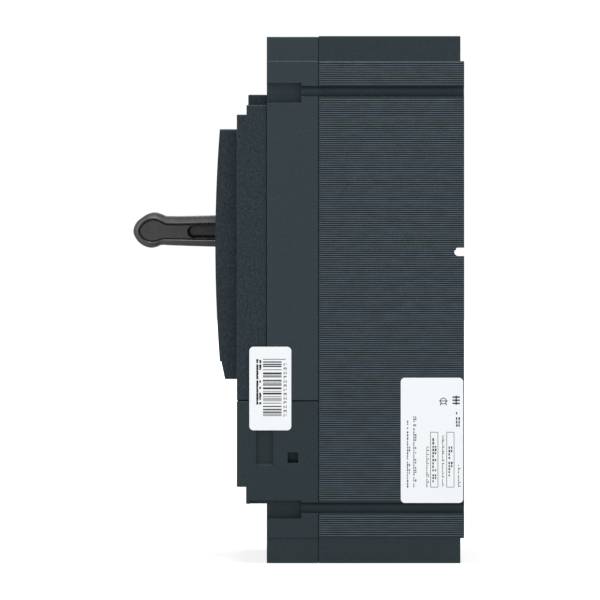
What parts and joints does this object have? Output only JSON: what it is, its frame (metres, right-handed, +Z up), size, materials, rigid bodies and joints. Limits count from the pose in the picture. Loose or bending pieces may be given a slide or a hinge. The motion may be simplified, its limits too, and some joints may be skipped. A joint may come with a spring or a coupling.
{
  "type": "molded case circuit breaker",
  "caption": "Molded case circuit breaker with toggle handle, clear setting window, push-to-trip button and screw terminals at both ends.",
  "frame": {"origin": "centre of the rear mounting face", "axes": "+Z up towards the line terminals, -Y out of the front, +X to the right seen from the front"},
  "size_m": [0.1402, 0.1627, 0.255],
  "materials": {
    "case_moulding": "fine-grained moulding, blue grey",
    "cover_moulding": "fine-grained moulding, blue grey",
    "front_moulding": "coarser-grained moulding, darker blue grey",
    "handle_moulding": "satin, warm grey",
    "shutter_moulding": "matt black",
    "bright_screw": "zinc plated",
    "black_screw": "blackened",
    "tinned_copper": "tin plated copper",
    "copper": "bare copper",
    "silver_contact": "silver tungsten",
    "mechanism_steel": "yellow passivated steel",
    "spring_steel": "oiled spring wire",
    "shaft_moulding": "brown phenolic",
    "arc_fibre": "red brown vulcanised fibre",
    "clear_window": "clear polycarbonate",
    "dial_moulding": "light grey",
    "button_moulding": "red",
    "label_film": "white printed film",
    "nameplate_film": "pale grey printed film",
    "brass_strip": "rolled bimetal"
  },
  "bodies": {
    "case": {"base": "case_moulding", "main_cover": "cover_moulding", "trip_unit_housing": "cover_moulding", "accessory_cover": "front_moulding", "handle_surround": "front_moulding", "cover_screws": "black_screw", "trip_unit_screws": "bright_screw", "accessory_cover_screws": "bright_screw", "terminal_screws": "bright_screw", "terminal_washers": "bright_screw", "terminal_nuts": "bright_screw", "fixed_contacts": "silver_contact", "shaft_bearings": "shutter_moulding", "flexible_braids": "copper", "arc_chute_plates": "mechanism_steel", "arc_chute_cheeks": "arc_fibre", "mechanism_plate_left": "mechanism_steel", "mechanism_plate_right": "mechanism_steel", "frame_pins": "mechanism_steel", "handle_pivot_pins": "mechanism_steel", "trip_button_spring": "spring_steel", "bimetals": "brass_strip", "calibration_screws": "bright_screw", "magnet_yokes": "mechanism_steel", "armature_pins": "mechanism_steel", "rating_label": "label_film", "barcode_label": "label_film", "nameplate": "nameplate_film", "line_terminal_left": "tinned_copper", "heater_bar_left": "tinned_copper", "line_terminal_middle": "tinned_copper", "heater_bar_middle": "tinned_copper", "line_terminal_right": "tinned_copper", "heater_bar_right": "tinned_copper"},
    "handle": {"handle": "handle_moulding", "handle_yoke": "mechanism_steel", "handle_shutter": "shutter_moulding", "main_springs": "spring_steel"},
    "contact_shaft": {"contact_shaft": "shaft_moulding", "arm_pins": "mechanism_steel", "crank_pin": "mechanism_steel", "moving_contacts": "silver_contact", "contact_arm_left": "copper", "contact_arm_middle": "copper", "contact_arm_right": "copper"},
    "lower_link": {"lower_links": "mechanism_steel", "knee_pin": "mechanism_steel"},
    "upper_link": {"upper_links": "mechanism_steel", "cradle_link_rivets": "mechanism_steel"},
    "cradle": {"cradle": "mechanism_steel"},
    "latch": {"latch": "mechanism_steel"},
    "trip_bar": {"trip_bar": "shaft_moulding"},
    "trip_button": {"trip_button": "button_moulding"},
    "window_flap": {"window_flap": "clear_window"},
    "overload_dial": {"overload_dial": "dial_moulding"},
    "short_circuit_dial": {"short_circuit_dial": "dial_moulding"},
    "armature_left": {"armature_left": "mechanism_steel"},
    "armature_middle": {"armature_middle": "mechanism_steel"},
    "armature_right": {"armature_right": "mechanism_steel"}
  },
  "joints": [
    {"name": "handle_swing", "type": "hinge", "parent": "case", "child": "handle", "pos_m": [0, -0.06, 0.0346], "axis": [-1, 0, 0], "range_deg": [-20, 20], "deforming": ["main_springs"]},
    {"name": "contact_shaft_turn", "type": "hinge", "parent": "case", "child": "contact_shaft", "pos_m": [0, -0.034, 0], "axis": [-1, 0, 0], "range_deg": [-17.05, 17.05], "deforming": ["flexible_braids"]},
    {"name": "lower_link_turn", "type": "hinge", "parent": "contact_shaft", "child": "lower_link", "pos_m": [0, -0.04264, 0.00971], "axis": [-1, 0, 0], "range_deg": [-26.5, 26.5]},
    {"name": "upper_link_turn", "type": "hinge", "parent": "case", "child": "upper_link", "pos_m": [0, -0.07582, 0.02574], "axis": [-1, 0, 0], "range_deg": [-3.1, 3.1]},
    {"name": "cradle_reset", "type": "hinge", "parent": "case", "child": "cradle", "pos_m": [0, -0.06, 0.006], "axis": [-1, 0, 0], "range_deg": [0, 2.2]},
    {"name": "trip_button_push", "type": "slide", "parent": "case", "child": "trip_button", "axis": [0, 1, 0], "range_m": [0, 0.002], "stiffness_N_per_m": 250, "springref_m": -0.004, "deforming": ["trip_button_spring"]},
    {"name": "trip_bar_turn", "type": "hinge", "parent": "case", "child": "trip_bar", "pos_m": [0, -0.084, -0.068], "axis": [1, 0, 0], "range_deg": [0, 8.24]},
    {"name": "latch_turn", "type": "hinge", "parent": "case", "child": "latch", "pos_m": [0, -0.072, -0.024], "axis": [-1, 0, 0], "range_deg": [0, 13.06]},
    {"name": "window_hinge", "type": "hinge", "parent": "case", "child": "window_flap", "pos_m": [0, -0.1088, -0.0606], "axis": [-1, 0, 0], "range_deg": [0, 100]},
    {"name": "overload_dial_turn", "type": "hinge", "parent": "case", "child": "overload_dial", "pos_m": [-0.015, -0.104, -0.07], "axis": [0, -1, 0], "range_deg": [-135, 135]},
    {"name": "short_circuit_dial_turn", "type": "hinge", "parent": "case", "child": "short_circuit_dial", "pos_m": [0.015, -0.104, -0.07], "axis": [0, -1, 0], "range_deg": [-135, 135]},
    {"name": "armature_left_pull", "type": "hinge", "parent": "case", "child": "armature_left", "pos_m": [-0.045, -0.0293, -0.086], "axis": [1, 0, 0], "range_deg": [0, 2], "stiffness_Nm_per_rad": 0.05, "springref_deg": -17.19},
    {"name": "armature_middle_pull", "type": "hinge", "parent": "case", "child": "armature_middle", "pos_m": [0, -0.0293, -0.086], "axis": [1, 0, 0], "range_deg": [0, 2], "stiffness_Nm_per_rad": 0.05, "springref_deg": -17.19},
    {"name": "armature_right_pull", "type": "hinge", "parent": "case", "child": "armature_right", "pos_m": [0.045, -0.0293, -0.086], "axis": [1, 0, 0], "range_deg": [0, 2], "stiffness_Nm_per_rad": 0.05, "springref_deg": -17.19}
  ],
  "couplings": [
    {"joint": "contact_shaft_turn", "follows": "handle_swing", "ratio": 0.85},
    {"joint": "lower_link_turn", "follows": "handle_swing", "ratio": -1.321},
    {"joint": "upper_link_turn", "follows": "handle_swing", "ratio": 0.152},
    {"joint": "trip_bar_turn", "follows": "trip_button_push", "rad_per_m": 71.429},
    {"joint": "latch_turn", "follows": "trip_button_push", "rad_per_m": 113.49}
  ]
}
